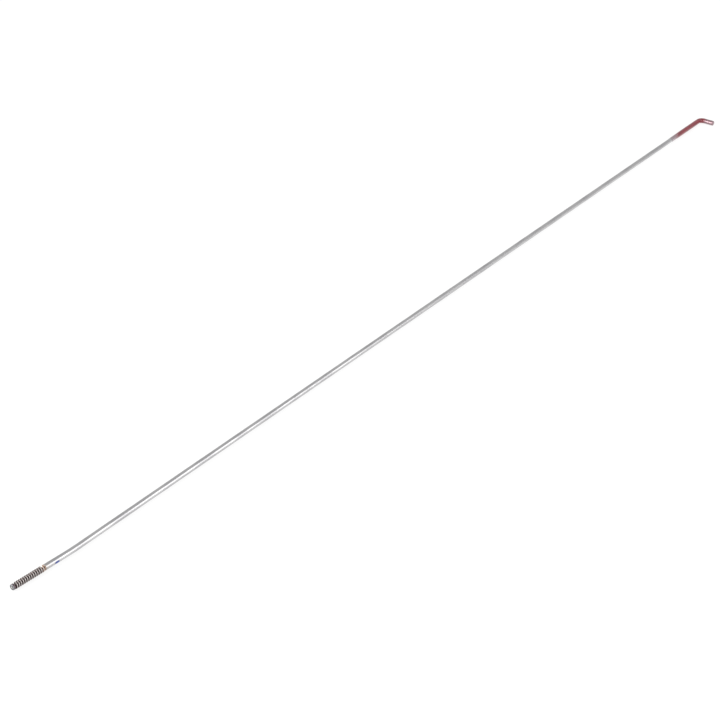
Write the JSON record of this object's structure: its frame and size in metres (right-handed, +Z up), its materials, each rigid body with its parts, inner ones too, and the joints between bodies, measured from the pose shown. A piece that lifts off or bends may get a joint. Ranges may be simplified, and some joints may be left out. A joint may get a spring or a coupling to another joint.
{
  "type": "drain auger rod",
  "caption": "Long steel wire drain auger rod with a wound boring coil and button nose on its head, and a right-angle hook in a dipped coat at its other end.",
  "frame": {"origin": "on the surface the tool lies on, under the middle of its bounding box", "axes": "+X along the long run of the wire from the coil to the hook, +Z up, and the hook lies flat and points to -Y"},
  "size_m": [0.9176, 0.0198, 0.0049],
  "materials": {
    "bright_steel": "bright drawn wire, light plating",
    "dark_spring_steel": "oil-tempered, dark brown",
    "button_steel": "satin turned steel",
    "braze_copper": "as brazed, dull copper",
    "red_dip": "dipped, translucent red",
    "blue_paint": "brushed-on paint"
  },
  "bodies": {
    "root": {"rod": "bright_steel", "auger_coil": "dark_spring_steel", "end_button": "button_steel", "braze_fillet": "braze_copper", "red_dip_coat": "red_dip", "blue_paint_dab": "blue_paint"}
  },
  "joints": []
}
